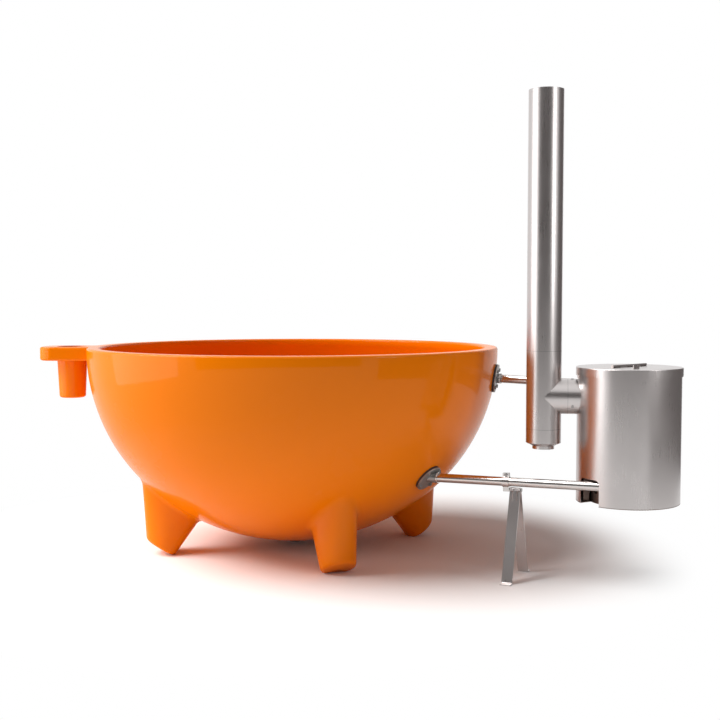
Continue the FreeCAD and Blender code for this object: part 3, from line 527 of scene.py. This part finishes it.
flueLow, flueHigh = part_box("chimney_pipe")
stoveLow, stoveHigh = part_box("stove_casing")
seams = {
    "flue": Vector(((flueLow.x + flueHigh.x) / 2, (flueLow.y + flueHigh.y) / 2, 0)),
    "stove": Vector(((stoveLow.x + stoveHigh.x) / 2, (stoveLow.y + stoveHigh.y) / 2, 0)),
    "radius": (flueHigh.x - flueLow.x) / 2,
    "teeTop": 0.846,
    "teeBottom": 0.557,
    "branchHeight": 0.677,
    "branchReach": 0.221,
    "proud": 0.0003,
    "height": 0.0016,
    "depth": 0.001,
    "segments": 96,
}


def makeSeams():
    out = (seams["flue"] - seams["stove"]).normalized()
    places = [
        towards(seams["flue"] + up * seams["teeTop"], up),
        towards(seams["flue"] + up * seams["teeBottom"], up),
        towards(seams["stove"] + up * seams["branchHeight"] + out * seams["branchReach"], out),
    ]
    outer = seams["radius"] + seams["proud"]
    inner = outer - seams["depth"]
    half = seams["height"] / 2
    section = [Vector(spot) for spot in ((inner, -half), (outer, -half), (outer, half), (inner, half))]
    bm = bmesh.new()
    for place in places:
        spin(bm, section, seams["segments"], place)
    return finishMesh("flueSeams", bm)


seat(makeSeams(), "tub", materials["bolt_steel"], "bolt_steel")
print("seams made")

# camera, floor and light

view = {
    "height": 1.035,
    "pitch": 3.2,
    "azimuth": 25.5,
    "depth": 4.555,
    "sideways": -0.277,
    "focalPixels": 1082.0,
    "framePixels": 720.0,
    "sensor": 36.0,
    "clipEnd": 100,
}
cameraTurn = math.radians(view["azimuth"])
view["right"] = Vector((math.cos(cameraTurn), math.sin(cameraTurn), 0))
view["ahead"] = Vector((-math.sin(cameraTurn), math.cos(cameraTurn), 0))


def addObject(name, data):
    holder = bpy.data.objects.new(name, data)
    bpy.context.scene.collection.objects.link(holder)
    return holder


def addCamera():
    camera = bpy.data.cameras.new("photoCamera")
    camera.sensor_width = view["sensor"]
    camera.lens = view["sensor"] * view["focalPixels"] / view["framePixels"]
    camera.clip_end = view["clipEnd"]
    holder = addObject("photoCamera", camera)
    aside = view["right"] * -view["sideways"] - view["ahead"] * view["depth"]
    holder.location = bowl["centre"] + aside + up * view["height"]
    holder.rotation_euler = (math.radians(90 - view["pitch"]), 0, math.radians(view["azimuth"]))
    bpy.context.scene.camera = holder


studio = {
    "keyStrength": 3.5, "keyAngle": 42.0, "keyTravel": (0.62, 0.03, -0.78),
    "boxes": {
        "leftBox": {"power": 40.0, "size": (2.4, 2.4), "place": (-2.73, -0.91, 1.35)},
        "rightBox": {"power": 26.0, "size": (0.9, 1.7), "place": (4.07, -3.46, 1.85)},
    },
    "ambient": 0.24,
    "floorTone": (0.93, 0.925, 0.92, 1),
    "cardTone": (0.13, 0.12, 0.118, 1),
    "cards": {
        "frontCard": (-122.0, -34.0, 4.6, 6.2),
        "lowCard": (-34.0, 10.0, 0.9, 2.4),
        "sideCard": (10.0, 80.0, 3.6, 2.4),
    },
    "fade": (1.2, 1.65),
    "aimShare": 0.6, "cardSteps": 12, "cardLift": 0.02, "floorHalf": 30,
}


def addLights():
    key = bpy.data.lights.new("keyLight", "SUN")
    key.energy = studio["keyStrength"]
    key.angle = math.radians(studio["keyAngle"])
    sideways, onwards, fall = studio["keyTravel"]
    travel = view["right"] * sideways + view["ahead"] * onwards + up * fall
    addObject("keyLight", key).rotation_euler = travel.to_track_quat("-Z", "Y").to_euler()
    for name, box in studio["boxes"].items():
        lamp = bpy.data.lights.new(name, "AREA")
        lamp.shape = "RECTANGLE"
        lamp.size, lamp.size_y = box["size"]
        lamp.energy = box["power"]
        holder = addObject(name, lamp)
        sideways, onwards, height = box["place"]
        holder.location = bowl["centre"] + view["right"] * sideways + view["ahead"] * onwards + up * height
        aim = seams["stove"] + up * height * studio["aimShare"] - holder.location
        holder.rotation_euler = aim.to_track_quat("-Z", "Y").to_euler()


def mattMaterial(name, tone):
    material, nodesOf, link = newMaterial(name)
    shader = nodesOf["Principled BSDF"]
    shader.inputs["Base Color"].default_value = tone
    shader.inputs["Roughness"].default_value = 1
    shader.inputs["Specular IOR Level"].default_value = 0
    return material, nodesOf, link


def addFloor():
    # shadows near the object, plain white paper further out
    half = studio["floorHalf"]
    corners = [(-half, -half, 0), (half, -half, 0), (half, half, 0), (-half, half, 0)]
    mesh = bpy.data.meshes.new("studioFloor")
    mesh.from_pydata(corners, [], [(0, 1, 2, 3)])
    floor = addObject("studioFloor", mesh)
    material, nodesOf, link = mattMaterial("paleFloor", studio["floorTone"])
    place = nodesOf.new("ShaderNodeTexCoord")
    reach = nodesOf.new("ShaderNodeVectorMath")
    reach.operation = "DISTANCE"
    reach.inputs[1].default_value = bowl["centre"]
    link(place.outputs["Object"], reach.inputs[0])
    fade = nodesOf.new("ShaderNodeMapRange")
    fade.interpolation_type = "SMOOTHSTEP"
    fade.inputs["From Min"].default_value, fade.inputs["From Max"].default_value = studio["fade"]
    link(reach.outputs["Value"], fade.inputs["Value"])
    paper = nodesOf.new("ShaderNodeEmission")
    mix = nodesOf.new("ShaderNodeMixShader")
    link(fade.outputs["Result"], mix.inputs["Fac"])
    link(nodesOf["Principled BSDF"].outputs[0], mix.inputs[1])
    link(paper.outputs[0], mix.inputs[2])
    link(mix.outputs[0], nodesOf["Material Output"].inputs["Surface"])
    mesh.materials.append(material)


def addCards():
    # dark curved screens round the stove, which the steel mirrors as darker bands
    material = mattMaterial("darkCard", studio["cardTone"])[0]
    steps = studio["cardSteps"]
    for name, (first, last, height, reach) in studio["cards"].items():
        spots = []
        for step in range(steps + 1):
            angle = math.radians(first + (last - first) * step / steps)
            foot = seams["stove"] + Vector((math.cos(angle), math.sin(angle), 0)) * reach
            spots += [foot + up * studio["cardLift"], foot + up * height]
        mesh = bpy.data.meshes.new(name)
        mesh.from_pydata(spots, [], [(2 * k, 2 * k + 2, 2 * k + 3, 2 * k + 1) for k in range(steps)])
        mesh.materials.append(material)
        card = addObject(name, mesh)
        card.visible_camera = False  # mirrored by the steel, never seen itself


def addWorld():
    # white where the camera, mirrored and bent rays look; a lower level lights the object
    world = bpy.data.worlds.new("studioWorld")
    bpy.context.scene.world = world
    world.use_nodes = True
    tree = world.node_tree
    link = tree.links.new
    plain = tree.nodes["Background"]
    plain.inputs["Color"].default_value = (1, 1, 1, 1)
    plain.inputs["Strength"].default_value = studio["ambient"]
    white = tree.nodes.new("ShaderNodeBackground")
    white.inputs["Color"].default_value = (1, 1, 1, 1)
    white.inputs["Strength"].default_value = 1
    path = tree.nodes.new("ShaderNodeLightPath")
    seen = None
    for ray in ("Is Camera Ray", "Is Glossy Ray", "Is Transmission Ray"):
        if seen is None:
            seen = path.outputs[ray]
            continue
        either = tree.nodes.new("ShaderNodeMath")
        either.operation = "MAXIMUM"
        link(seen, either.inputs[0])
        link(path.outputs[ray], either.inputs[1])
        seen = either.outputs[0]
    mix = tree.nodes.new("ShaderNodeMixShader")
    link(seen, mix.inputs["Fac"])
    link(plain.outputs[0], mix.inputs[1])
    link(white.outputs[0], mix.inputs[2])
    link(mix.outputs[0], tree.nodes["World Output"].inputs["Surface"])


addCamera()
addLights()
addFloor()
addCards()
addWorld()
bpy.context.scene.view_settings.view_transform = "Standard"
print("camera and studio set")

bpy.context.view_layer.update()
